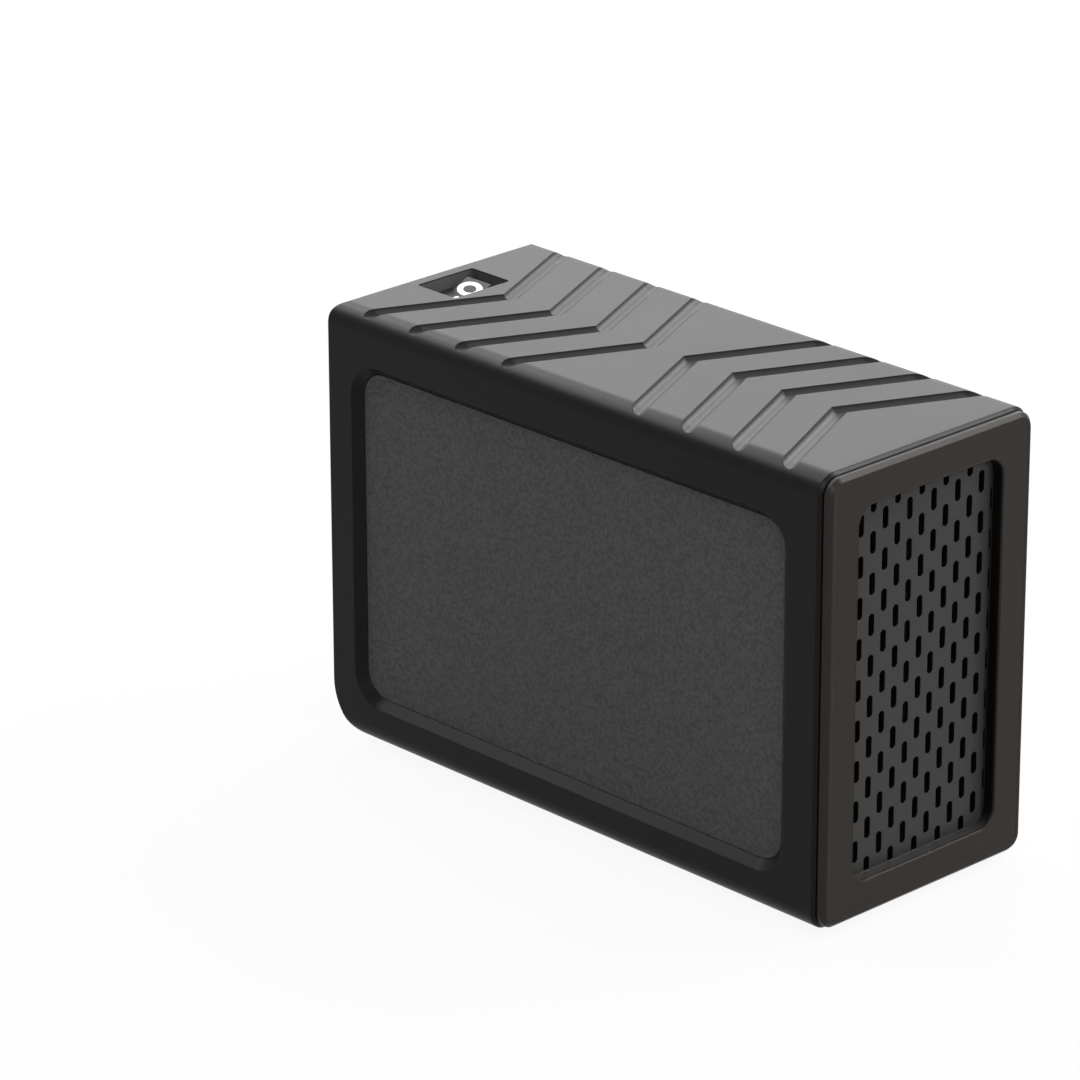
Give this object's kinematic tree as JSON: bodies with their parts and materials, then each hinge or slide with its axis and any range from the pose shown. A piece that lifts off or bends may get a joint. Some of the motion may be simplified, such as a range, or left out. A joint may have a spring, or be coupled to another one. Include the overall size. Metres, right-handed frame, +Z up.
{
  "type": "hard drive docking station",
  "caption": "Upright two-bay drive dock: moulded box with chevron-grooved top, textured side plates, pull-off slotted door and a recessed rocker switch.",
  "frame": {"origin": "middle of the footprint, level with the underside of the rubber feet", "axes": "+X towards the slotted door, +Z up, +Y to the left when looking out of the door"},
  "size_m": [0.1978, 0.0826, 0.1346],
  "materials": {
    "shell_plastic": "satin black moulded",
    "plate_texture": "fine grained dark grey",
    "door_plastic": "matte warm dark grey",
    "cage_plastic": "matte black",
    "switch_plastic": "glossy black",
    "board": "green solder mask",
    "connector": "matte black",
    "chip": "matte moulded",
    "steel": "plated",
    "screw_steel": "black oxide",
    "magnet": "nickel plated",
    "brass": "bright",
    "can": "bare can",
    "winding": "enamelled wire",
    "rubber": "soft black"
  },
  "bodies": {
    "housing": {"outer_shell": "shell_plastic", "right_side_panel": "plate_texture", "left_side_panel": "plate_texture", "rubber_feet": "rubber", "catch_plates": "steel", "bay_flange": "cage_plastic", "bay_floor": "cage_plastic", "bay_roof": "cage_plastic", "right_bay_wall": "cage_plastic", "left_bay_wall": "cage_plastic", "bay_divider": "cage_plastic", "bay_screws": "screw_steel", "backplane_board": "board", "backplane_screws": "steel", "right_sata_socket": "connector", "left_sata_socket": "connector", "bridge_chip": "chip", "port_board": "board", "port_board_screws": "steel", "board_link": "connector", "filter_capacitors": "can", "usb_socket": "steel", "usb_tongue": "connector", "power_jack": "connector", "power_jack_pin": "brass", "rear_panel": "cage_plastic", "rear_panel_screws": "screw_steel", "fan_frame": "cage_plastic", "fan_stator": "winding", "fan_screws": "screw_steel", "switch_body": "switch_plastic", "switch_terminals": "brass"},
    "door": {"front_door": "door_plastic", "door_magnets": "magnet"},
    "rocker": {"switch_rocker": "switch_plastic"},
    "rotor": {"fan_rotor": "cage_plastic"}
  },
  "joints": [
    {"name": "door_pull", "type": "slide", "parent": "housing", "child": "door", "axis": [1, 0, 0], "range_m": [0, 0.06]},
    {"name": "rocker_tilt", "type": "hinge", "parent": "housing", "child": "rocker", "pos_m": [-0.08425, -0.0016, 0.12935], "axis": [-1, 0, 0], "range_deg": [0, 24]},
    {"name": "fan_spin", "type": "hinge", "parent": "housing", "child": "rotor", "pos_m": [-0.08925, 0, 0.066], "axis": [1, 0, 0], "continuous": true}
  ]
}
